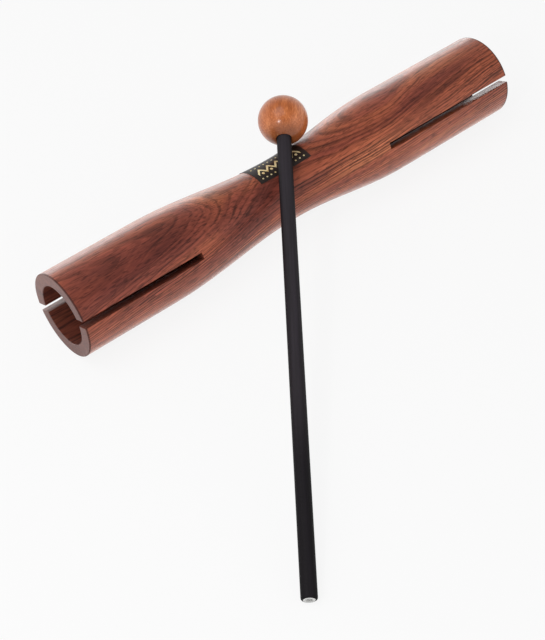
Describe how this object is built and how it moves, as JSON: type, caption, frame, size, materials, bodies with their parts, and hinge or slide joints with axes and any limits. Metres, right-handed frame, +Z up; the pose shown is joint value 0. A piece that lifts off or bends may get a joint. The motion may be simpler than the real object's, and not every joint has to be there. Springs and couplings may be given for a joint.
{
  "type": "tone block",
  "caption": "Turned wooden tone block with a narrow waist, bored and slotted at its ends, and a loose ball-headed beater leaning across it.",
  "frame": {"origin": "on the table, under the middle of the box of block and beater together", "axes": "+X along the block from its high-tone end to its low-tone end, +Y across it from the beater's butt to its ball, +Z up"},
  "size_m": [0.277, 0.21, 0.0588],
  "materials": {
    "red_hardwood": "satin lacquer over reddish brown, dark-streaked hardwood",
    "black_foil": "smooth dark label film",
    "black_rod": "satin black glass-fibre rod",
    "ball_wood": "lacquered orange-tan turned wood"
  },
  "bodies": {
    "block": {"tone_block": "red_hardwood", "label": "black_foil"},
    "beater": {"beater_stick": "black_rod", "beater_head": "ball_wood"}
  },
  "joints": [
    {"name": "beater_lift", "type": "slide", "parent": "block", "child": "beater", "axis": [0, 0, 1], "range_m": [0, 0.1]}
  ]
}
